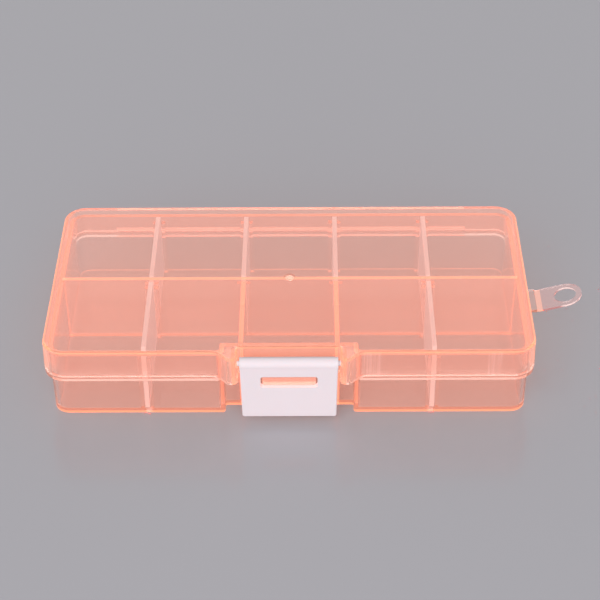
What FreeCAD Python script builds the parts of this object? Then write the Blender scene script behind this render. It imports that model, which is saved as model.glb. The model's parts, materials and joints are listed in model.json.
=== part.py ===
import FreeCAD, Part
import Sketcher
import math
import os
from types import SimpleNamespace

# Driving sizes of the box, in millimetres and degrees
SIZES = {
    # overall form of the closed box
    "overall_height": 22.4,
    "lid_length": 128.0,
    "lid_depth": 65.0,
    "lid_corner": 6.0,
    "lid_wall": 1.0,
    "lid_draft": 1.5,
    "lid_edge_round": 0.8,
    "skirt_height": 8.3,
    # gate mark left by the mould on top of the lid
    "gate_outer_radius": 1.6,
    "gate_nub_radius": 0.8,
    "gate_depth": 0.3,
    "gate_offset": 1.0,
    # flared ears of the lid that carry the latch
    "ear_gap": 26.2,
    "ear_reach": 3.2,
    "ear_face": 2.6,
    "flare_angle": 47.0,
    "flare_round": 4.0,
    "ear_round": 1.6,
    "ear_wall": 1.6,
    "ear_hollow_round": 0.009,
    "lid_recess_depth": 2.0,
    "lid_recess_round": 0.6,
    # tray walls, floor and rim
    "rim_clearance": 0.65,
    "divider_headroom": 0.6,
    "rim_drop": 0.55,
    "tray_draft": 0.5,
    "tray_corner": 4.0,
    "tray_wall": 1.2,
    "floor_thickness": 1.3,
    "foot_round": 0.6,
    # outward flange of the tray, just under the lid's edge
    "flange_gap": 0.45,
    "flange_thickness": 0.9,
    "flange_inset": 0.1,
    # front recess of the tray, behind the latch
    "recess_width": 33.8,
    "recess_depth": 2.9,
    "recess_round": 0.7,
    # fixed walls, rib pairs and loose dividers
    "centre_wall": 1.2,
    "divider_pitch": 25.0,
    "divider_thickness": 1.2,
    "divider_corner": 0.8,
    "divider_end_clearance": 0.25,
    "slot_clearance": 0.15,
    "rib_width": 1.0,
    "rib_depth": 1.2,
    "rib_drop": 1.5,
    # white latch on its pins
    "pivot_drop": 3.0,
    "pivot_reach": 0.9,
    "barrel_radius": 1.7,
    "pin_radius": 0.7,
    "pin_clearance": 0.2,
    "pin_end_clearance": 0.4,
    "latch_side_clearance": 0.45,
    "latch_thickness": 1.5,
    "latch_inset": 0.05,
    "latch_length": 16.9,
    "latch_taper": 0.35,
    "latch_corner": 0.6,
    "latch_edge_round": 0.4,
    "window_width": 14.7,
    "window_drop": 3.25,
    "window_height": 3.5,
    "window_round": 0.6,
    # catch tongue of the tray, inside the latch's window
    "catch_side_clearance": 0.45,
    "catch_lift": 0.2,
    "catch_thickness": 1.0,
    "catch_engagement": 0.7,
    "catch_round": 0.6,
    "nose_depth": 1.2,
    "nose_height": 2.3,
    # living hinge of the lid
    "hinge_length": 100.0,
    "hinge_relief": 0.4,
    "hinge_web": 0.4,
    "hinge_loop": 0.75,
    # hang tab and its fold strip
    "fold_reach": 3.9,
    "fold_width": 1.6,
    "fold_web": 0.3,
    "tab_width": 9.0,
    "tab_thickness": 0.6,
    "tab_length": 11.9,
    "tab_hole_radius": 3.0,
    "tab_tilt": 15.0,
}


# A size with the sheet formula that drives it, so that each is written only once
class Size:
    def __init__(self, formula, value):
        self.formula = formula
        self.value = value

    @staticmethod
    def of(number):
        return number if isinstance(number, Size) else Size(f"({number})", number)

    def __add__(self, other):
        other = Size.of(other)
        return Size(f"({self.formula} + {other.formula})", self.value + other.value)

    def __neg__(self):
        return Size(f"(0 - {self.formula})", -self.value)

    def __sub__(self, other):
        return self + -Size.of(other)

    def __mul__(self, other):
        other = Size.of(other)
        return Size(f"({self.formula} * {other.formula})", self.value * other.value)

    def __truediv__(self, other):
        other = Size.of(other)
        return Size(f"({self.formula} / {other.formula})", self.value / other.value)


def sine(angle):
    return Size(f"sin({angle.formula} * 1 deg)", math.sin(math.radians(angle.value)))


def cosine(angle):
    return Size(f"cos({angle.formula} * 1 deg)", math.cos(math.radians(angle.value)))


def tangent(angle):
    return sine(angle) / cosine(angle)


doc = FreeCAD.newDocument("compartment_box")
sheet = doc.addObject("Spreadsheet::Sheet", "Sizes")
for row, (alias, number) in enumerate(SIZES.items(), 1):
    sheet.set(f"A{row}", alias)
    sheet.set(f"B{row}", str(number))
    sheet.setAlias(f"B{row}", alias)
doc.recompute()
size = SimpleNamespace(**{alias: Size(f"Sizes.{alias}", number) for alias, number in SIZES.items()})
ZERO = Size("0", 0.0)

# Levels and faces that several pieces share
lid_half_length = size.lid_length / 2
lid_half_depth = size.lid_depth / 2
lid_edge_z = size.overall_height - size.skirt_height
centre_wall_top = size.overall_height - size.lid_wall - size.divider_headroom
rim_z = centre_wall_top - size.rim_drop
flange_top = lid_edge_z - size.flange_gap
flange_bottom = flange_top - size.flange_thickness
flange_middle = flange_bottom + size.flange_thickness / 2
flange_half_length = lid_half_length - size.flange_inset
flange_half_depth = lid_half_depth - size.flange_inset
rim_half_length = lid_half_length - size.lid_wall - size.rim_clearance
rim_half_depth = lid_half_depth - size.lid_wall - size.rim_clearance
rim_spread = tangent(size.tray_draft) * rim_z
floor_spread = tangent(size.tray_draft) * (rim_z - size.floor_thickness)
foot_half_length = rim_half_length - rim_spread
foot_half_depth = rim_half_depth - rim_spread
inner_half_depth = rim_half_depth - size.tray_wall - floor_spread
pivot_y = -(lid_half_depth + size.pivot_reach)
pivot_z = size.overall_height - size.pivot_drop
latch_back = size.barrel_radius - size.latch_inset - size.latch_thickness
window_floor = pivot_z - size.window_drop - size.window_height
fold_x = lid_half_length + size.fold_reach


def new_body(label):
    body = doc.addObject("PartDesign::Body", label)
    body.Label = label
    return body


def origin_feature(body, role):
    return next(feature for feature in body.Origin.OriginFeatures if feature.Role == role)


def new_sketch(body, name, plane, level=ZERO):
    sketch = body.newObject("Sketcher::SketchObject", name)
    sketch.AttachmentSupport = [(origin_feature(body, plane), "")]
    sketch.MapMode = "FlatFace"
    sketch.setExpression("AttachmentOffset.Base.z", level.formula)
    return sketch


def constrain(sketch, rules):
    """Adds constraints given as (kind, places, size); a size binds the constraint to the sheet."""
    made = [Sketcher.Constraint(kind, *places, *([driver.value] if driver else []))
            for kind, places, driver in rules]
    for index, (_, _, driver) in zip(sketch.addConstraint(made), rules):
        if driver:
            sketch.setExpression(f"Constraints[{index}]", driver.formula)


def place_rules(geometry, point, x, y):
    return [("DistanceX", (-1, 1, geometry, point), x), ("DistanceY", (-1, 1, geometry, point), y)]


def outline(sketch, corners):
    """Draws a closed outline through corners (x, y, radius); a corner with no radius is sharp."""
    points = [FreeCAD.Vector(x.value, y.value, 0) for x, y, _ in corners]
    count = len(corners)
    arrive, leave, centres = [], [], []
    for i, (_, _, radius) in enumerate(corners):
        back = (points[i - 1] - points[i]).normalize()
        ahead = (points[(i + 1) % count] - points[i]).normalize()
        half = back.getAngle(ahead) / 2
        bend = radius.value if radius else 0.0
        arrive.append(points[i] + back * (bend / math.tan(half)))
        leave.append(points[i] + ahead * (bend / math.tan(half)))
        centres.append(points[i] + (back + ahead).normalize() * (bend / math.sin(half)))
    lines = [sketch.addGeometry(Part.LineSegment(leave[i], arrive[(i + 1) % count]), False)
             for i in range(count)]
    rules = []
    for i, (x, y, radius) in enumerate(corners):
        before, after = lines[i - 1], lines[i]
        if not radius:
            rules += [("Coincident", (before, 2, after, 1), None), *place_rules(after, 1, x, y)]
            continue
        turn = (points[i] - points[i - 1]).cross(points[(i + 1) % count] - points[i]).z
        ends = (arrive[i], leave[i]) if turn > 0 else (leave[i], arrive[i])
        angles = [math.atan2(end.y - centres[i].y, end.x - centres[i].x) for end in ends]
        circle = Part.Circle(centres[i], FreeCAD.Vector(0, 0, 1), radius.value)
        arc = sketch.addGeometry(Part.ArcOfCircle(circle, *angles), False)
        first, last = (1, 2) if turn > 0 else (2, 1)
        corner = sketch.addGeometry(Part.Point(points[i]), True)
        rules += place_rules(corner, 1, x, y)
        rules += [
            ("PointOnObject", (corner, 1, before), None),
            ("PointOnObject", (corner, 1, after), None),
            ("Tangent", (before, 2, arc, first), None),
            ("Tangent", (arc, last, after, 1), None),
            ("Radius", (arc,), radius),
        ]
    constrain(sketch, rules)


def rectangle(sketch, left, right, low, high, radius=None):
    places = (left, low), (right, low), (right, high), (left, high)
    outline(sketch, [(x, y, radius) for x, y in places])


def circle(sketch, x, y, radius):
    centre = FreeCAD.Vector(x.value, y.value, 0)
    ring = sketch.addGeometry(Part.Circle(centre, FreeCAD.Vector(0, 0, 1), radius.value), False)
    constrain(sketch, [*place_rules(ring, 3, x, y), ("Radius", (ring,), radius)])


def extrude(body, kind, name, sketch, length, symmetric=False, reverse=False, taper=None):
    """Pads or pockets a sketch; both ways from its plane if symmetric."""
    feature = body.newObject(f"PartDesign::{kind}", name)
    feature.Profile = sketch
    feature.SideType = "Symmetric" if symmetric else "One side"
    feature.Reversed = reverse
    feature.setExpression("Length", length.formula)
    if taper:
        feature.setExpression("TaperAngle", taper.formula)
    doc.recompute()
    return feature


def pad(body, name, sketch, length, **settings):
    return extrude(body, "Pad", name, sketch, length, **settings)


def pocket(body, name, sketch, length, **settings):
    before = body.Tip.Shape.Volume
    feature = extrude(body, "Pocket", name, sketch, length, **settings)
    if not feature.Shape.Volume < before:
        raise RuntimeError(f"{name} cuts nothing")
    return feature


def fillet(body, name, radius, chosen):
    """Rounds the edges of the body's last feature that the test picks."""
    base = body.Tip
    names = [f"Edge{i}" for i, edge in enumerate(base.Shape.Edges, 1) if chosen(edge)]
    feature = body.newObject("PartDesign::Fillet", name)
    feature.Base = (base, names)
    feature.setExpression("Radius", radius.formula)
    doc.recompute()
    return feature


def lies_at(edge, axis, level):
    """True where a whole edge lies at one level along an axis."""
    box = edge.BoundBox
    low, high = getattr(box, axis + "Min"), getattr(box, axis + "Max")
    return abs(low - level.value) < 1e-4 and abs(high - level.value) < 1e-4


def mirrored_outline(right_half):
    """A whole outline from its right half, listed from the front middle round to the back middle."""
    return right_half + [(-x, y, radius) for x, y, radius in reversed(right_half)]


def notched_box(half_length, half_depth, corner, notch_half, notch_y, notch_round):
    """Rounded rectangle with a notch in the middle of its front side."""
    return mirrored_outline([
        (notch_half, notch_y, notch_round),
        (notch_half, -half_depth, notch_round),
        (half_length, -half_depth, corner),
        (half_length, half_depth, corner),
    ])


def build_tray():
    body = new_body("base_tray")
    foot_recess_half = size.recess_width / 2
    foot_recess_y = -(foot_half_depth - size.recess_depth)

    # outer form, widening upwards with the mould's draft
    foot = new_sketch(body, "foot_outline", "XY_Plane")
    outline(foot, notched_box(foot_half_length, foot_half_depth, size.tray_corner,
                              foot_recess_half, foot_recess_y, size.recess_round))
    pad(body, "outer_form", foot, rim_z, taper=size.tray_draft)
    fillet(body, "foot_edge", size.foot_round, lambda edge: lies_at(edge, "Z", ZERO))

    # outward flange under the lid's edge, open at the front recess
    flange = new_sketch(body, "flange_outline", "XY_Plane", flange_bottom)
    outline(flange, notched_box(flange_half_length, flange_half_depth, size.lid_corner - size.flange_inset,
                                foot_recess_half, foot_recess_y + size.tray_wall / 2, size.recess_round))
    pad(body, "flange", flange, size.flange_thickness)

    # catch tongue that reaches into the latch's window, with a nose that stands up at its tip
    half = size.window_width / 2 - size.catch_side_clearance
    tip = pivot_y - latch_back - size.catch_engagement
    tongue_root = foot_recess_y + size.tray_wall / 2
    for name, root, height in (("catch_tongue", tongue_root, size.catch_thickness),
                               ("catch_nose", tip + size.nose_depth, size.nose_height)):
        plan = new_sketch(body, f"{name}_outline", "XY_Plane", window_floor + size.catch_lift)
        outline(plan, [
            (-half, tip, size.catch_round), (half, tip, size.catch_round),
            (half, root, None), (-half, root, None),
        ])
        pad(body, name, plan, height)

    # stub that carries the hang tab
    stub = new_sketch(body, "stub_outline", "XY_Plane", flange_bottom)
    rectangle(stub, rim_half_length, fold_x - size.fold_width / 2, -size.tab_width / 2, size.tab_width / 2)
    pad(body, "tab_stub", stub, size.flange_thickness)

    # hollow, with walls that follow the outer draft
    wall = size.tray_wall
    hollow = new_sketch(body, "hollow_outline", "XY_Plane", rim_z)
    outline(hollow, notched_box(
        rim_half_length - wall, rim_half_depth - wall, size.tray_corner - wall + rim_spread,
        foot_recess_half - rim_spread + wall, foot_recess_y - rim_spread + wall, size.recess_round))
    pocket(body, "hollow", hollow, rim_z - size.floor_thickness, taper=-size.tray_draft)

    # centre wall along the box and two fixed partitions behind the recess
    wall_root = size.floor_thickness / 2
    wall_half = size.centre_wall / 2
    centre = new_sketch(body, "centre_wall_outline", "XY_Plane", wall_root)
    end = foot_half_length - wall / 2
    rectangle(centre, -end, end, -wall_half, wall_half)
    pad(body, "centre_wall", centre, centre_wall_top - wall_root)
    partition = new_sketch(body, "partition_outline", "XY_Plane", wall_root)
    partition_x = size.divider_pitch / 2
    rectangle(partition, partition_x - wall_half, partition_x + wall_half,
              foot_recess_y + wall / 2, ZERO)
    partition_pad = pad(body, "partition", partition, rim_z - wall_root)
    mirror(body, "partition_pair", partition_pad)

    # rib pairs that hold the loose dividers, on the outer walls and on the centre wall
    rib_base = wall_half + size.rib_depth
    rib_face = inner_half_depth - size.rib_depth
    rib_length = rim_z - size.rib_drop - wall_root
    first_x = -size.divider_pitch * 1.5
    back_ribs = new_sketch(body, "back_rib_outline", "XY_Plane", wall_root)
    rib_pair(back_ribs, first_x, ZERO, rib_base)
    rib_pair(back_ribs, first_x, rib_face, inner_half_depth + wall / 2)
    back_pad = pad(body, "back_ribs", back_ribs, rib_length)
    row = body.newObject("PartDesign::LinearPattern", "back_rib_row")
    row.Originals = [back_pad]
    row.Direction = (origin_feature(body, "X_Axis"), [""])
    row.setExpression("Length", (size.divider_pitch * 3).formula)
    row.Occurrences = 4
    body.Tip = row
    doc.recompute()
    front_ribs = new_sketch(body, "front_rib_outline", "XY_Plane", wall_root)
    rib_pair(front_ribs, first_x, -rib_base, ZERO)
    rib_pair(front_ribs, first_x, -inner_half_depth - wall / 2, -rib_face)
    front_pad = pad(body, "front_ribs", front_ribs, rib_length)
    mirror(body, "front_rib_pairs", front_pad)
    return body


def mirror(body, name, feature):
    """Repeats a feature on the other side of the box's middle."""
    copy = body.newObject("PartDesign::Mirrored", name)
    copy.Originals = [feature]
    copy.MirrorPlane = (origin_feature(body, "YZ_Plane"), [""])
    body.Tip = copy
    doc.recompute()
    return copy


def rib_pair(sketch, x, low, high):
    """Two ribs either side of a divider's place."""
    near = size.divider_thickness / 2 + size.slot_clearance
    far = near + size.rib_width
    rectangle(sketch, x - far, x - near, low, high)
    rectangle(sketch, x + near, x + far, low, high)


def lid_ring(inset, ear_inset, ear_round):
    """Outline of the lid with the latch's recess between two flared ears, set in by a wall's thickness;
    the ears' inner walls, which carry the latch, have a thickness of their own."""
    ear_inner = size.ear_gap / 2 + ear_inset
    ear_outer = size.ear_gap / 2 + size.ear_face - inset * tangent(size.flare_angle / 2)
    flare_width = size.ear_reach / tangent(size.flare_angle)
    front = inset - lid_half_depth
    ear_front = front - size.ear_reach
    corner = size.lid_corner - inset
    return mirrored_outline([
        (ear_inner, front + size.lid_recess_depth, size.lid_recess_round + inset),
        (ear_inner, ear_front, ear_round),
        (ear_outer, ear_front, ear_round),
        (ear_outer + flare_width, front, size.flare_round + inset),
        (lid_half_length - inset, front, corner),
        (lid_half_length - inset, lid_half_depth - inset, corner),
    ])


def build_lid():
    # outer form, narrowing upwards with the mould's draft
    body = new_body("lid")
    rim = new_sketch(body, "lid_outline", "XY_Plane", lid_edge_z)
    outline(rim, lid_ring(ZERO, ZERO, size.ear_round))
    pad(body, "lid_block", rim, size.skirt_height, taper=-size.lid_draft)
    fillet(body, "lid_top_edge", size.lid_edge_round, lambda edge: lies_at(edge, "Z", size.overall_height))

    # hollow below, leaving one even wall; its draft narrows the ears' corners down to their round at the top
    hollow = new_sketch(body, "lid_hollow_outline", "XY_Plane", lid_edge_z)
    hollow_height = size.skirt_height - size.lid_wall
    mouth_round = size.ear_hollow_round + tangent(size.lid_draft) * hollow_height
    outline(hollow, lid_ring(size.lid_wall, size.ear_wall, mouth_round))
    pocket(body, "lid_hollow", hollow, hollow_height, reverse=True, taper=-size.lid_draft)

    # lower edge lifted along the hinge
    relief = new_sketch(body, "hinge_relief_outline", "XY_Plane", lid_edge_z)
    half = size.hinge_length / 2
    rectangle(relief, -half, half, lid_half_depth - size.lid_wall * 1.5, lid_half_depth + size.lid_wall)
    pocket(body, "hinge_relief", relief, size.hinge_relief, reverse=True)

    # blind holes in the ears for the latch's pins
    holes = new_sketch(body, "pin_hole_outline", "YZ_Plane")
    circle(holes, pivot_y, pivot_z, size.pin_radius + size.pin_clearance)
    pocket(body, "pin_holes", holes, size.ear_gap + size.lid_wall * 2, symmetric=True)

    # ring sunk round the nub of the mould's gate
    gate = new_sketch(body, "gate_outline", "XY_Plane", size.overall_height)
    circle(gate, ZERO, -size.gate_offset, size.gate_outer_radius)
    circle(gate, ZERO, -size.gate_offset, size.gate_nub_radius)
    pocket(body, "gate_mark", gate, size.gate_depth)
    return body


def build_lid_hinge():
    # the web leaves the flange's back edge, loops round and joins the lid's drafted back face
    body = new_body("lid_hinge_web")
    profile = new_sketch(body, "web_profile", "YZ_Plane")
    low = flange_middle
    half_web = size.hinge_web / 2
    outer = size.hinge_loop + half_web
    inner = size.hinge_loop - half_web
    centre_z = low + size.hinge_loop
    lid_face = lid_half_depth - tangent(size.lid_draft) * (centre_z + inner - lid_edge_z)
    middle = FreeCAD.Vector(lid_face.value, centre_z.value, 0)
    normal = FreeCAD.Vector(0, 0, 1)
    quarter = math.pi / 2
    outer_arc = profile.addGeometry(
        Part.ArcOfCircle(Part.Circle(middle, normal, outer.value), -quarter, quarter), False)
    inner_arc = profile.addGeometry(
        Part.ArcOfCircle(Part.Circle(middle, normal, inner.value), -quarter, quarter), False)
    root_y = flange_half_depth.value
    root = [FreeCAD.Vector(root_y, level.value, 0) for level in (low - half_web, low + half_web)]
    bends = [FreeCAD.Vector(lid_face.value, point.y, 0) for point in root]
    bottom = profile.addGeometry(Part.LineSegment(root[0], bends[0]), False)
    top = profile.addGeometry(Part.LineSegment(bends[1], root[1]), False)
    foot = profile.addGeometry(Part.LineSegment(root[1], root[0]), False)
    tips = [middle + FreeCAD.Vector(0, radius.value, 0) for radius in (outer, inner)]
    tip = profile.addGeometry(Part.LineSegment(*tips), False)
    constrain(profile, [
        ("Coincident", (outer_arc, 3, inner_arc, 3), None),
        *place_rules(outer_arc, 3, lid_face, centre_z),
        ("Radius", (outer_arc,), outer),
        ("Radius", (inner_arc,), inner),
        ("Tangent", (bottom, 2, outer_arc, 1), None),
        ("Tangent", (top, 1, inner_arc, 1), None),
        ("Coincident", (top, 2, foot, 1), None),
        ("Coincident", (foot, 2, bottom, 1), None),
        ("Vertical", (foot,), None),
        ("DistanceX", (-1, 1, foot, 1), flange_half_depth),
        ("Horizontal", (bottom,), None),
        ("Horizontal", (top,), None),
        ("Coincident", (outer_arc, 2, tip, 1), None),
        ("Coincident", (inner_arc, 2, tip, 2), None),
        ("DistanceX", (-1, 1, tip, 1), lid_face),
        ("DistanceX", (-1, 1, tip, 2), lid_face),
    ])
    pad(body, "hinge_web", profile, size.hinge_length, symmetric=True)
    return body


def build_latch():
    # drawn about its own pivot axis, then set between the lid's ears
    body = new_body("latch")
    width = size.ear_gap - size.latch_side_clearance * 2
    half = width / 2
    barrel = new_sketch(body, "barrel_outline", "YZ_Plane")
    circle(barrel, ZERO, ZERO, size.barrel_radius)
    pad(body, "barrel", barrel, width, symmetric=True)
    pins = new_sketch(body, "pin_outline", "YZ_Plane")
    circle(pins, ZERO, ZERO, size.pin_radius)
    pad(body, "pins", pins, size.ear_gap + (size.lid_wall - size.pin_end_clearance) * 2, symmetric=True)

    # flat plate below the front of the barrel, narrower at the bottom, with rounded lower corners
    plate = new_sketch(body, "plate_outline", "XZ_Plane", latch_back)
    foot = half - size.latch_taper
    outline(plate, [
        (-foot, -size.latch_length, size.latch_corner), (foot, -size.latch_length, size.latch_corner),
        (half, ZERO, None), (-half, ZERO, None),
    ])
    pad(body, "plate", plate, size.latch_thickness)
    rims = ("latch_front_edge", -latch_back - size.latch_thickness), ("latch_back_edge", -latch_back)
    for name, face in rims:
        fillet(body, name, size.latch_edge_round, lambda edge, face=face: lies_at(edge, "Y", face)
               and edge.CenterOfMass.z < -size.barrel_radius.value)

    # window that the catch tongue sits in
    window = new_sketch(body, "window_outline", "XZ_Plane")
    floor = window_floor - pivot_z
    window_half = size.window_width / 2
    rectangle(window, -window_half, window_half, floor, floor + size.window_height, size.window_round)
    pocket(body, "window", window, size.latch_thickness * 4, symmetric=True)
    body.setExpression("Placement.Base.y", pivot_y.formula)
    body.setExpression("Placement.Base.z", pivot_z.formula)
    return body


def build_divider(label, column, front):
    # plate with rounded top corners, standing on the floor between its rib pairs
    body = new_body(label)
    profile = new_sketch(body, "divider_profile", "YZ_Plane")
    near = size.centre_wall / 2 + size.divider_end_clearance
    far = inner_half_depth - size.divider_end_clearance
    left, right = (-far, -near) if front else (near, far)
    top = centre_wall_top - size.floor_thickness
    outline(profile, [
        (left, ZERO, None), (right, ZERO, None),
        (right, top, size.divider_corner), (left, top, size.divider_corner),
    ])
    pad(body, "divider_plate", profile, size.divider_thickness, symmetric=True)
    body.setExpression("Placement.Base.x", (size.divider_pitch * column).formula)
    body.setExpression("Placement.Base.z", size.floor_thickness.formula)
    return body


def tilt_up(body):
    """Sets a piece at the fold of the hang tab, tilted up as the tab rests."""
    body.Placement.Rotation = FreeCAD.Rotation(FreeCAD.Vector(0, -1, 0), size.tab_tilt.value)
    body.setExpression("Placement.Base.x", fold_x.formula)
    body.setExpression("Placement.Base.z", flange_middle.formula)


def build_tab():
    # drawn flat from the fold, then tilted up
    body = new_body("hang_tab")
    plan = new_sketch(body, "tab_outline", "XY_Plane", -size.tab_thickness / 2)
    half = size.tab_width / 2
    root = size.fold_width / 2
    eye = size.tab_length - half
    middle = FreeCAD.Vector(eye.value, 0, 0)
    rim = Part.Circle(middle, FreeCAD.Vector(0, 0, 1), half.value)
    end = plan.addGeometry(Part.ArcOfCircle(rim, -math.pi / 2, math.pi / 2), False)
    places = (eye, half), (root, half), (root, -half), (eye, -half)
    corners = [FreeCAD.Vector(x.value, y.value, 0) for x, y in places]
    sides = [plan.addGeometry(Part.LineSegment(*corners[i:i + 2]), False) for i in range(3)]
    constrain(plan, [
        *place_rules(end, 3, eye, ZERO),
        ("Radius", (end,), half),
        ("Tangent", (end, 2, sides[0], 1), None),
        ("Coincident", (sides[0], 2, sides[1], 1), None),
        ("Coincident", (sides[1], 2, sides[2], 1), None),
        ("Tangent", (sides[2], 2, end, 1), None),
        ("Horizontal", (sides[0],), None),
        ("Horizontal", (sides[2],), None),
        ("Vertical", (sides[1],), None),
        ("DistanceX", (-1, 1, sides[1], 1), root),
    ])
    circle(plan, eye, ZERO, size.tab_hole_radius)
    pad(body, "tab_plate", plan, size.tab_thickness)
    tilt_up(body)
    return body


def build_tab_hinge():
    # thin strip, bent at the fold line by the tab's tilt
    body = new_body("tab_hinge_web")
    profile = new_sketch(body, "fold_profile", "XZ_Plane")
    reach = size.fold_width / 2
    half_web = size.fold_web / 2
    lean = half_web * sine(size.tab_tilt)
    rise = half_web * cosine(size.tab_tilt)
    tip_x = reach * cosine(size.tab_tilt)
    tip_z = reach * sine(size.tab_tilt)
    miter = half_web * tangent(size.tab_tilt / 2)
    outline(profile, [
        (-reach, -half_web, None), (miter, -half_web, None), (tip_x + lean, tip_z - rise, None),
        (tip_x - lean, tip_z + rise, None), (-miter, half_web, None), (-reach, half_web, None),
    ])
    pad(body, "fold_web", profile, size.tab_width, symmetric=True)
    body.setExpression("Placement.Base.x", fold_x.formula)
    body.setExpression("Placement.Base.z", flange_middle.formula)
    return body


pieces = [build_tray(), build_lid(), build_lid_hinge(), build_latch(), build_tab(), build_tab_hinge()]
for column, place in ((-1.5, "far_left"), (-0.5, "left"), (0.5, "right"), (1.5, "far_right")):
    pieces.append(build_divider(f"divider_back_{place}", column, front=False))
for column, place in ((-1.5, "left"), (1.5, "right")):
    pieces.append(build_divider(f"divider_front_{place}", column, front=True))
doc.recompute()

for item in doc.Objects:
    if {"Invalid", "Error"} & set(item.State):
        raise RuntimeError(f"{item.Name} failed: {item.State}")
for piece in pieces:
    if piece.Shape.isNull() or not piece.Shape.isValid():
        raise RuntimeError(f"{piece.Label} has no valid shape")

os.makedirs("parts", exist_ok=True)
for piece in pieces:
    piece.Shape.exportStep(os.path.join("parts", f"{piece.Label}.step"))
    print(f"{piece.Label}: {len(piece.Shape.Solids)} solid, {piece.Shape.Volume:.1f} mm3")
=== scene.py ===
import json
import math

import bmesh
import bpy
from mathutils import Euler, Matrix, Vector


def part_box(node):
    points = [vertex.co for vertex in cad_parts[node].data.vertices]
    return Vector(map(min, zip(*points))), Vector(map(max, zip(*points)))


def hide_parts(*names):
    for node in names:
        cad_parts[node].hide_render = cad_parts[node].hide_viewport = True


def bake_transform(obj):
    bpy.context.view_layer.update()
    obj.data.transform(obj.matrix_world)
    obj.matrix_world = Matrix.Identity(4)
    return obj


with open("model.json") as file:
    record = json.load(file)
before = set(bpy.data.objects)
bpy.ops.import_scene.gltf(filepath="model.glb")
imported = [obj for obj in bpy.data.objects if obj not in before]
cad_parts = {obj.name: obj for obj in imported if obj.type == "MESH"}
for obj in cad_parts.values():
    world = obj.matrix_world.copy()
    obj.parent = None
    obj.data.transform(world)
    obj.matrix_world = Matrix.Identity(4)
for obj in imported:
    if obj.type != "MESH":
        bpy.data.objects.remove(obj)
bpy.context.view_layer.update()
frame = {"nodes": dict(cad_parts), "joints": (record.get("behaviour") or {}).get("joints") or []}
nodes = frame["nodes"]


# Base tray: the open lower half, with floor, drafted walls, rib slots, centre wall, partitions and flange.
# It is injection moulded in one shot of see-through plastic with a fluorescent orange dye. The light such a
# dye
# leads along the sheet is painted: the plastic's volume and its rims, feet and wall tops carry a painted
# glow, so rims shine while the flat walls stay pale.
class Term:
    """An output of a node in a skin. Plain sums on it add the Math nodes that work them out."""

    def __init__(self, skin, socket):
        self.skin = skin
        self.socket = socket

    def math(self, operation, first, second):
        return self.skin.node("Math", {"operation": operation}, {0: first, 1: second})

    def __add__(self, other):
        return self.math("ADD", self, other)

    __radd__ = __add__

    def __sub__(self, other):
        return self.math("SUBTRACT", self, other)

    def __rsub__(self, other):
        return self.math("SUBTRACT", other, self)

    def __mul__(self, other):
        return self.math("MULTIPLY", self, other)

    __rmul__ = __mul__

    def __or__(self, other):
        return self.math("MAXIMUM", self, other)

    def __abs__(self):
        return self.skin.node("Math", {"operation": "ABSOLUTE"}, {0: self})

    def fade(self, start, end):
        """0 up to start, 1 past end, and a smooth rise between; start may be the larger."""
        settings = {"interpolation_type": "SMOOTHSTEP"}
        return self.skin.node("MapRange", settings, {"Value": self, "From Min": start, "From Max": end})


class Skin:
    """A new material, with the places and patterns that moulded plastic shows."""

    def __init__(self, name):
        self.material = bpy.data.materials.new(name)
        self.material.use_nodes = True
        self.material.cycles.emission_sampling = "NONE"
        self.tree = self.material.node_tree
        self.tree.nodes.clear()
        self.place = self.node("TexCoord", output="Object")
        self.facing = self.node("TexCoord", output="Normal")

    def node(self, kind, settings=None, feeds=None, output=0):
        """Adds any node: first its settings, then a value or a term for each of its sockets."""
        made = self.tree.nodes.new("ShaderNode" + kind)
        for name, setting in (settings or {}).items():
            setattr(made, name, setting)
        for name, feed in (feeds or {}).items():
            if isinstance(feed, Term):
                self.tree.links.new(feed.socket, made.inputs[name])
            else:
                made.inputs[name].default_value = feed
        return Term(self, made.outputs[output]) if made.outputs else None

    def axis(self, vector, name):
        return self.node("SeparateXYZ", {}, {0: vector}, name)

    def cloud(self, size, detail=2.0, stretch=(1, 1, 1)):
        """Soft patches about size metres across, from 0 to 1."""
        scale = tuple(along / size for along in stretch)
        place = self.node("Mapping", {}, {"Vector": self.place, "Scale": scale})
        return self.node("TexNoise", {}, {"Vector": place, "Scale": 1.0, "Detail": detail})

    def cover(self, under, mask, over):
        """The colour over lies on the colour under where mask is 1; each is a colour or a term."""
        under, over = (tone if isinstance(tone, Term) else (*tone, 1) for tone in (under, over))
        return self.node("Mix", {"data_type": "RGBA"}, {0: mask, 6: under, 7: over}, 2)

    def finish(self, surface, volume=None):
        outputs = {"Surface": surface}
        if volume:
            outputs["Volume"] = volume
        self.node("OutputMaterial", {}, outputs)
        return self.material


def see_through(skin, surface, tint):
    """The surface for eyes and gloss, and a plain tinted pane for lamps and for light from other surfaces."""
    shadow = skin.node("LightPath", output="Is Shadow Ray")
    bounced = skin.node("LightPath", output="Is Diffuse Ray")
    pane = skin.node("BsdfTransparent", {}, {"Color": (*tint, 1)})
    return skin.node("MixShader", {}, {0: shadow | bounced, 1: surface, 2: pane})


mm = 0.001
plastic_ior = 1.49
dye_pale = (0.97, 0.83, 0.79)
dye_deep = (0.95, 0.79, 0.74)
dye_shadow = (0.982, 0.943, 0.924)
dye_swallows = {"Color": (1.0, 0.58, 0.46, 1), "Density": 66.0}
# painted glow: the dyed volume gives off this light under no lamp, more where it is looked through thickly
dye_painted_glow = {"Color": (1.0, 0.375, 0.215, 1), "Strength": 33.0}
# pale painted glow on the torn gate nub
frost_painted_glow = (0.36, 0.22, 0.17)


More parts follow.
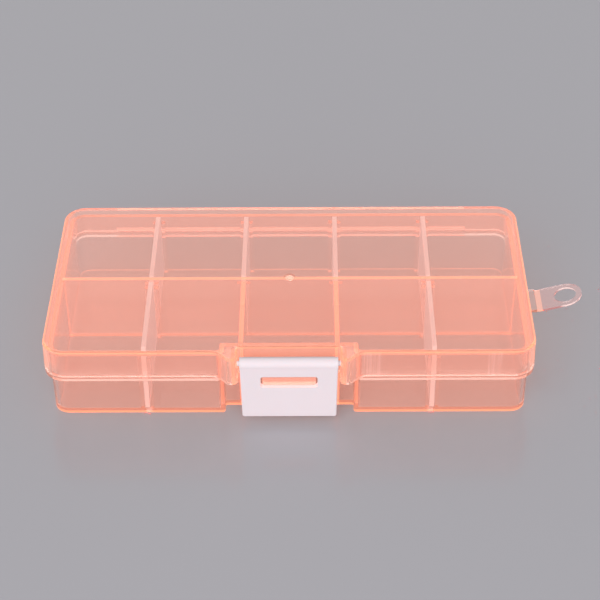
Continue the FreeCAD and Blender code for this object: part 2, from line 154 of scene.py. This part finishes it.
def dyed_plastic(name, paint_glow, frost=None):
    """Glossy orange plastic with a painted glow: its volume gives off light, more the thicker it is looked
    through.
    The second argument works out from the skin the colour of painted glow at edges, and frost a mask of rough
    spots that also get a pale painted glow."""
    skin = Skin(name)
    streaks = skin.cloud(size=22 * mm, detail=3.0, stretch=(0.35, 1, 1))
    haze = skin.cloud(size=6 * mm, detail=4.0)
    scuffs = skin.cloud(size=0.9 * mm, stretch=(0.12, 1, 1)).fade(0.66, 0.74)
    rough = 0.02 + 0.05 * haze.fade(0.35, 0.8) + 0.10 * scuffs
    colour = skin.cover(dye_pale, streaks, dye_deep)
    # painted glow at the edges, from the piece's own masks
    light = paint_glow(skin)
    if frost:
        nub_frost_and_glow = frost(skin)
        rough = rough + 0.5 * nub_frost_and_glow
        light = skin.cover(light, nub_frost_and_glow, frost_painted_glow)
    wave = skin.cloud(size=14 * mm, detail=0.0)
    normal = skin.node("Bump", {}, {"Strength": 0.003, "Distance": 0.3 * mm, "Height": wave})
    surface = skin.node("BsdfPrincipled", {}, {
        "Base Color": colour, "Roughness": rough, "Normal": normal, "IOR": plastic_ior,
        "Transmission Weight": 0.94, "Emission Color": light, "Emission Strength": 1.0})
    swallowed = skin.node("VolumeAbsorption", {}, dye_swallows)
    # painted glow of the whole volume
    lit = skin.node("Emission", {}, dye_painted_glow)
    glowing = skin.node("AddShader", {}, {0: swallowed, 1: lit})
    return skin.finish(see_through(skin, surface, dye_shadow), glowing)


def dress(piece, material):
    piece.data.materials.clear()
    piece.data.materials.append(material)


tray_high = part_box("base_tray")[1]
foot_height = 1.25 * mm
rim_depth = 1.0 * mm
rim_end = tray_high.x - 9.0 * mm
nose_back = -33.2 * mm
recess_back = -26.2 * mm
recess_half = 17.0 * mm
recess_low = 11.0 * mm
recess_high = 15.0 * mm
centre_half = 1.3 * mm
root_high = 2.0 * mm
# painted glow: emission colours laid on the tray and lid where their edges and rims should shine
dim_painted_glow = (0.025, 0.0095, 0.007)
edge_painted_glow = (0.36, 0.10, 0.04)
foot_painted_glow = (0.50, 0.16, 0.065)
centre_top_painted_glow = (0.62, 0.22, 0.10)
centre_painted_glow = (0.060, 0.020, 0.012)
root_painted_glow = (0.24, 0.06, 0.02)
# painted fill light in the latch's shaded recess, and a painted highlight on the tongue's nose
recess_painted_light = (0.13, 0.04, 0.018)
nose_painted_highlight = (0.14, 0.085, 0.078)


def tray_painted_glow(skin):
    """Painted glow at the foot of the walls and on the tops of rim, centre wall and partitions, painted fill
    light in the latch recess, and a painted highlight on the tongue's nose.
    """
    aside = abs(skin.axis(skin.place, "X"))
    forward = skin.axis(skin.place, "Y")
    height = skin.axis(skin.place, "Z")
    up = skin.axis(skin.facing, "Z")
    rim = height.fade(tray_high.z - rim_depth, tray_high.z - 0.8 * rim_depth) * up.fade(0.5, 0.8)
    rim = rim * (1.0 - 0.6 * aside.fade(rim_end, rim_end + 2.0 * mm))
    foot = height.fade(foot_height, 0.7 * foot_height) * up.fade(0.6, 0.3) * up.fade(-0.95, -0.8)
    centre_top = height.fade(tray_high.z - 0.2 * mm, tray_high.z - 0.1 * mm) * up.fade(0.5, 0.8)
    centre = abs(forward).fade(centre_half, centre_half - 0.2 * mm)
    root = centre * height.fade(root_high, root_high - 0.2 * mm) * up.fade(0.5, 0.3)
    recess = forward.fade(recess_back, recess_back - 0.4 * mm) * aside.fade(recess_half, recess_half - mm)
    nose = forward.fade(nose_back, nose_back - 0.2 * mm)
    # painted glow, painted fill light and a painted highlight, laid on by place
    light = skin.cover(dim_painted_glow, rim, edge_painted_glow)
    light = skin.cover(light, foot, foot_painted_glow)
    light = skin.cover(light, centre_top, centre_top_painted_glow)
    light = skin.cover(light, centre * up.fade(0.4, 0.2), centre_painted_glow)
    light = skin.cover(light, root, root_painted_glow)
    light = skin.cover(light, recess * height.fade(recess_low, recess_high), recess_painted_light)
    return skin.cover(light, nose, nose_painted_highlight)


dress(nodes["base_tray"], dyed_plastic("tray_orange", paint_glow=tray_painted_glow))


# Loose dividers: flat strips that push down between the ribs of the tray's walls to part the compartments.
# They are cut from natural polypropylene sheet without dye, so they look milky beside the orange walls; a
# faint painted glow lightens their faces.
# the pink in these milky tones is painted: it stands in for orange light from the walls round them
milk_pale = (0.97, 0.84, 0.81)
milk_deep = (0.94, 0.80, 0.77)
milk_shadow = (0.97, 0.94, 0.93)
milk_swallows = {"Color": (1.0, 0.85, 0.80, 1), "Density": 30.0}
# painted glow that lightens the dividers' faces
divider_painted_glow = (0.12, 0.078, 0.080, 1)


def natural_plastic(name, light):
    """Milky plastic with no dye of its own; the tint it takes from the orange round it is painted into its
    pinkish colours, and it is given a painted glow.
    """
    skin = Skin(name)
    milk = skin.cloud(size=12 * mm, detail=3.0)
    grain = skin.cloud(size=0.5 * mm)
    colour = skin.cover(milk_pale, milk, milk_deep)
    rough = 0.26 + 0.12 * milk + 0.06 * grain
    normal = skin.node("Bump", {}, {"Strength": 0.10, "Distance": 0.1 * mm, "Height": grain})
    # its emission is a painted glow
    surface = skin.node("BsdfPrincipled", {}, {
        "Base Color": colour, "Roughness": rough, "Normal": normal, "IOR": plastic_ior,
        "Transmission Weight": 0.5, "Emission Color": light, "Emission Strength": 1.0})
    milky = skin.node("VolumeAbsorption", {}, milk_swallows)
    return skin.finish(see_through(skin, surface, milk_shadow), milky)


milky_strip = natural_plastic("divider_natural", divider_painted_glow)
for name, node in nodes.items():
    if name.startswith("divider_"):
        dress(node, milky_strip)


# Lid hinge: a thin web along the back, moulded in one with the tray and the lid, that bends as the box opens.
# It leaves the tray's flange, loops outwards and comes back to the lid; bending has whitened its plastic, and
# the pale lines along its loop are a painted sheen.
web_thickness = 0.4 * mm
web_steps = 24
# painted sheen: emission in place of light caught on the loop's rounded top
web_painted_sheen = (0.22, 0.165, 0.16, 1)
web_low, web_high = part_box("lid_hinge_web")
loop_outside = (web_high.z - web_low.z) / 2
loop_inside = loop_outside - web_thickness
loop_y = web_high.y - loop_outside
loop_z = (web_high.z + web_low.z) / 2


def strip_mesh(name, across, outline_pairs):
    """A closed strip: each pair of points is its outer and inner face, and across steps from side to side."""
    mesh = bmesh.new()
    rows = []
    for outer, inner in outline_pairs:
        corners = (outer, inner, inner + across, outer + across)
        rows.append([mesh.verts.new(corner) for corner in corners])
    for row, following in zip(rows, rows[1:]):
        for side in range(4):
            after = (side + 1) % 4
            mesh.faces.new((row[side], following[side], following[after], row[after]))
    mesh.faces.new(rows[0])
    mesh.faces.new(reversed(rows[-1]))
    bmesh.ops.recalc_face_normals(mesh, faces=mesh.faces)
    data = bpy.data.meshes.new(name)
    mesh.to_mesh(data)
    mesh.free()
    piece = bpy.data.objects.new(name, data)
    bpy.context.scene.collection.objects.link(piece)
    return piece


def loop_point(turn, radius):
    return Vector((web_low.x, loop_y + radius * math.cos(turn), loop_z + radius * math.sin(turn)))


turns = [math.pi * (step / web_steps - 0.5) for step in range(web_steps + 1)]
loop = [(loop_point(turn, loop_outside), loop_point(turn, loop_inside)) for turn in turns]
straight = Vector((0, loop_y - web_low.y, 0))
loop.insert(0, tuple(point - straight for point in loop[0]))
loop.append(tuple(point - straight for point in loop[-1]))
lid_web = strip_mesh("lid_web", Vector((web_high.x - web_low.x, 0, 0)), loop)
dress(lid_web, natural_plastic("web_whitened_painted_sheen", web_painted_sheen))
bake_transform(lid_web)
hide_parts("lid_hinge_web")


# Lid: a shallow drafted cap with a flat roof, a latch recess between two flared ears, and a gate mark in its
# roof, where the plastic ran into the mould and was cut off. It is the same shot of orange plastic, and
# carries painted glow on its skirt, ears and edges.
lid_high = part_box("lid")[1]
gate_place = Vector((0, -1.0 * mm, lid_high.z))
gate_reach = 2.0 * mm
ear_inner = 13.1 * mm
ear_wall = 1.6 * mm
ear_width = 5.0 * mm
front_skirt = -30.5 * mm
rear_edge = lid_high.y - 1.4 * mm
drag_stretches = ((18.6 * mm, 23.9 * mm), (51.1 * mm, 55.0 * mm))
# painted glow colours for the lid's skirt, sides, front, drag lines, ears and back edge
skirt_painted_glow = (0.06, 0.036, 0.03)
side_painted_glow = (0.19, 0.06, 0.028)
front_painted_glow = (0.038, 0.016, 0.012)
drag_painted_glow = (0.080, 0.052, 0.048)
ear_painted_glow = (0.09, 0.05, 0.04)
rear_painted_glow = (0.30, 0.02, 0.0)


def lid_front(skin):
    return skin.axis(skin.place, "Y").fade(front_skirt, front_skirt - mm)


def lid_ears(skin, depth):
    """The two ears, which carry the latch's pins, as far out as depth from their inner faces."""
    aside = abs(skin.axis(skin.place, "X"))
    return lid_front(skin) * aside.fade(ear_inner + depth, ear_inner + 0.8 * depth)


def drag_lines(skin):
    """Fine upright lines on two stretches of the front skirt, where it dragged as it left the mould; the
    marks are real, and their pale shine is a painted glow.
    """
    across = skin.axis(skin.place, "X")
    stretches = None
    for start, end in drag_stretches:
        stretch = across.fade(start, start + 0.3 * mm) * across.fade(end, end - 0.3 * mm)
        stretches = stretches | stretch if stretches else stretch
    lines = skin.cloud(size=0.35 * mm, detail=0.0, stretch=(1, 0.02, 0.02)).fade(0.42, 0.62)
    return stretches * (0.25 + 0.75 * lines)


def lid_painted_glow(skin):
    """A little painted glow on the upright skirt, more on the ears, and most on the rounded edge of the roof;
    a painted orange line along the back edge.
    """
    up = skin.axis(skin.facing, "Z")
    front = lid_front(skin)
    skirt = up.fade(0.2, 0.06) * up.fade(-0.5, -0.3)
    sides = abs(skin.axis(skin.facing, "X")).fade(0.6, 0.85)
    edge = up.fade(0.06, 0.25) * up.fade(0.99, 0.9)
    rear = skin.axis(skin.place, "Y").fade(rear_edge, rear_edge + 0.3 * mm) * up.fade(0.4, 0.6)
    # painted glow, laid on by place
    light = skin.cover(dim_painted_glow, skirt, skirt_painted_glow)
    light = skin.cover(light, skirt * sides, side_painted_glow)
    light = skin.cover(light, front, front_painted_glow)
    light = skin.cover(light, front * skirt * drag_lines(skin), drag_painted_glow)
    light = skin.cover(light, lid_ears(skin, ear_width), ear_painted_glow)
    light = skin.cover(light, edge | 0.5 * lid_ears(skin, ear_wall), edge_painted_glow)
    return skin.cover(light, rear, rear_painted_glow)


def lid_frost(skin):
    """The torn nub where the gate was cut off."""
    away = skin.node("VectorMath", {"operation": "DISTANCE"}, {0: skin.place, 1: gate_place}, "Value")
    return (away + 1.2 * mm * skin.cloud(size=0.8 * mm)).fade(gate_reach, 0.7 * gate_reach)


dress(nodes["lid"], dyed_plastic("lid_orange", paint_glow=lid_painted_glow, frost=lid_frost))


# Latch: a flat white flap that hangs on two pins in the lid's ears and snaps its window over the tongue.
# It is an opaque satin moulding, a little translucent, so the orange behind it warms its shade.
white_pale = (0.84, 0.74, 0.775)
white_deep = (0.825, 0.725, 0.76)
window_half = 7.6 * mm
window_low = 10.5 * mm
window_high = 17.5 * mm
# emission for the window: none away from its cut faces, a warm painted glow on them
window_dark = (0, 0, 0)
window_painted_glow = (0.40, 0.23, 0.20)


def window_painted_light(skin):
    """Painted glow on the cut faces of the window, in place of the light that the tongue and the thin plate
    let through.
    """
    aside = abs(skin.axis(skin.place, "X"))
    height = skin.axis(skin.place, "Z")
    outward = abs(skin.axis(skin.facing, "Y"))
    within = height.fade(window_low, window_low + 0.2 * mm) * height.fade(window_high, window_high - 0.2 * mm)
    cut = within * aside.fade(window_half, window_half - 0.1 * mm) * outward.fade(0.9, 0.7)
    return skin.cover(window_dark, cut, window_painted_glow)


def white_plastic(name):
    """Satin white plastic with a fine grain, a little uneven in gloss, with a painted glow on the cut faces
    of its window.
    """
    skin = Skin(name)
    patches = skin.cloud(size=8 * mm, detail=3.0)
    grain = skin.cloud(size=0.25 * mm)
    colour = skin.cover(white_pale, patches, white_deep)
    rough = 0.36 + 0.12 * patches + 0.05 * grain
    normal = skin.node("Bump", {}, {"Strength": 0.12, "Distance": 0.05 * mm, "Height": grain})
    surface = skin.node("BsdfPrincipled", {}, {
        "Base Color": colour, "Roughness": rough, "Normal": normal, "IOR": plastic_ior,
        "Specular IOR Level": 0.3, "Subsurface Weight": 0.2, "Subsurface Radius": (1.0, 0.7, 0.6),
        "Subsurface Scale": 1.0 * mm,
        # painted glow in the window's cut faces
        "Emission Color": window_painted_light(skin), "Emission Strength": 1.0})
    return skin.finish(surface)


dress(nodes["latch"], white_plastic("latch_white"))


# Hang tab: a thin round-ended tongue with a hole, so that the box can hang on a peg. It is moulded in one
# with the tray and folds on a thin strip at its root, where it stands a little upwards.
fold_thickness = 0.3 * mm
fold_steps = 12
# painted glow: flat emission on the fold strip and on the tab
fold_painted_glow = (0.22, 0.075, 0.04, 1)
tab_painted_glow = (0.035, 0.014, 0.022, 1)
tab_tilt = math.radians(15)
fold_low, fold_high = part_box("tab_hinge_web")
fold_place = next(Vector(joint["pos_m"]) for joint in frame["joints"] if joint["name"] == "tab_fold")
fold_reach = Vector((fold_place.x - fold_low.x, 0, 0))


def fold_rail(half):
    """One face of the strip from the tray's stub to the tab, half a thickness off its evenly bent middle."""
    rail = []
    for step in range(fold_steps + 1):
        along = 2 * step / fold_steps - 1
        lean = tab_tilt * (along + 1) / 2
        base = Vector((fold_place.x + fold_reach.x * along, fold_low.y, fold_place.z))
        base += Vector((0, 0, fold_reach.x * math.tan(tab_tilt) * max(along, 0)))
        rail.append(base + half * Vector((-math.sin(lean), 0, math.cos(lean))))
    return rail


fold_pairs = list(zip(fold_rail(fold_thickness / 2), fold_rail(-fold_thickness / 2)))
tab_web = strip_mesh("tab_web", Vector((0, fold_high.y - fold_low.y, 0)), fold_pairs)
# both carry a flat painted glow
dress(tab_web, dyed_plastic("fold_orange", paint_glow=lambda skin: fold_painted_glow))
dress(nodes["hang_tab"], dyed_plastic("tab_orange", paint_glow=lambda skin: tab_painted_glow))
fold_place - fold_reach
fold_place + fold_reach
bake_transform(tab_web)
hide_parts("tab_hinge_web")


# Studio: a satin grey table in an even white tent of light, with one large soft lamp in front, hidden from
# gloss, and a wide panel behind that shows in gloss only. The camera looks down over the latch side.
table_pale = (0.455, 0.445, 0.48)
table_deep = (0.447, 0.437, 0.472)
floor_half = 2.0
floor_z = -0.1 * mm
tent_light = 0.42


def studio_floor(name):
    skin = Skin(name)
    patches = skin.cloud(size=90 * mm, detail=3.0)
    colour = skin.cover(table_pale, patches, table_deep)
    rough = 0.14 + 0.05 * patches
    surface = skin.node("BsdfPrincipled", {}, {"Base Color": colour, "Roughness": rough, "IOR": 1.45})
    return skin.finish(surface)


def soft_lamp(name, place, width, height, power):
    data = bpy.data.lights.new(name, "AREA")
    data.shape = "RECTANGLE"
    data.size = width
    data.size_y = height
    data.energy = power
    lamp = bpy.data.objects.new(name, data)
    bpy.context.scene.collection.objects.link(lamp)
    lamp.location = place
    lamp.rotation_euler = (-Vector(place)).to_track_quat("-Z", "Y").to_euler()
    return lamp


floor_data = bpy.data.meshes.new("floor")
floor_corners = [(-floor_half, -floor_half, floor_z), (floor_half, -floor_half, floor_z),
                 (floor_half, floor_half, floor_z), (-floor_half, floor_half, floor_z)]
floor_data.from_pydata(floor_corners, [], [(0, 1, 2, 3)])
floor = bpy.data.objects.new("floor", floor_data)
bpy.context.scene.collection.objects.link(floor)
dress(floor, studio_floor("table_grey"))

tent = bpy.data.worlds.new("tent")
bpy.context.scene.world = tent
tent.use_nodes = True
tent.node_tree.nodes["Background"].inputs["Color"].default_value = (1, 1, 1, 1)
tent.node_tree.nodes["Background"].inputs["Strength"].default_value = tent_light
front_lamp = soft_lamp("front", place=(-0.3, -2.0, 1.2), width=3.2, height=2.2, power=60.0)
front_lamp.visible_glossy = False
gloss_panel = soft_lamp("back", place=(0.0, 1.5, 1.15), width=6.0, height=1.4, power=13.0)
gloss_panel.visible_diffuse = False

camera = bpy.data.objects.new("camera", bpy.data.cameras.new("camera"))
bpy.context.scene.collection.objects.link(camera)
image_width = 600
focal_pixels = 1722
camera_place = (0.0054, -0.3701, 0.3047)
camera.data.sensor_width = 36
camera.data.lens = focal_pixels / image_width * camera.data.sensor_width
yaw, pitch, roll = (math.radians(angle) for angle in (-0.41, 38.17, 0.47))
look = Euler((math.pi / 2 - pitch, 0, -yaw)).to_matrix() @ Matrix.Rotation(-roll, 3, "Z")
camera.matrix_world = Matrix.Translation(camera_place) @ look.to_4x4()
bpy.context.scene.camera = camera
bpy.context.scene.view_settings.view_transform = "Standard"
